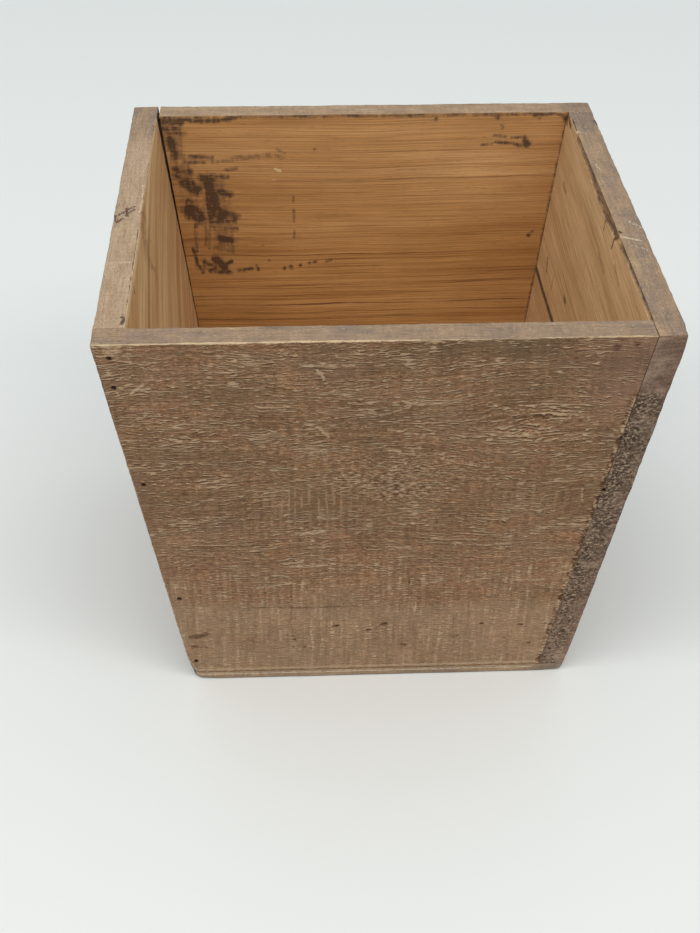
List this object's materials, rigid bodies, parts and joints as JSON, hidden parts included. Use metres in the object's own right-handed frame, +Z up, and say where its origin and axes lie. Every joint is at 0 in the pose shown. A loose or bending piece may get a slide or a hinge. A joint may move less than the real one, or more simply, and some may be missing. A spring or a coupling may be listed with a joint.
{
  "type": "wooden box",
  "caption": "Square open-topped wooden box with outward-leaning nailed board walls and a thin base board.",
  "frame": {"origin": "middle of the underside, on the surface that the box stands on", "axes": "+Z up, -Y out of the front, +X to the right seen from the front"},
  "size_m": [0.2348, 0.2348, 0.2056],
  "materials": {
    "wall_wood": "rough sawn and weathered outside, honey brown inside",
    "base_wood": "rough sawn",
    "nail_steel": "darkened, rusted heads"
  },
  "bodies": {
    "root": {"front_board": "wall_wood", "back_board": "wall_wood", "left_board": "wall_wood", "right_lower_board": "wall_wood", "right_upper_board": "wall_wood", "base_board": "base_wood", "front_left_nails": "nail_steel", "front_right_nails": "nail_steel", "back_right_nails": "nail_steel", "back_left_nails": "nail_steel", "base_nails": "nail_steel"}
  },
  "joints": []
}
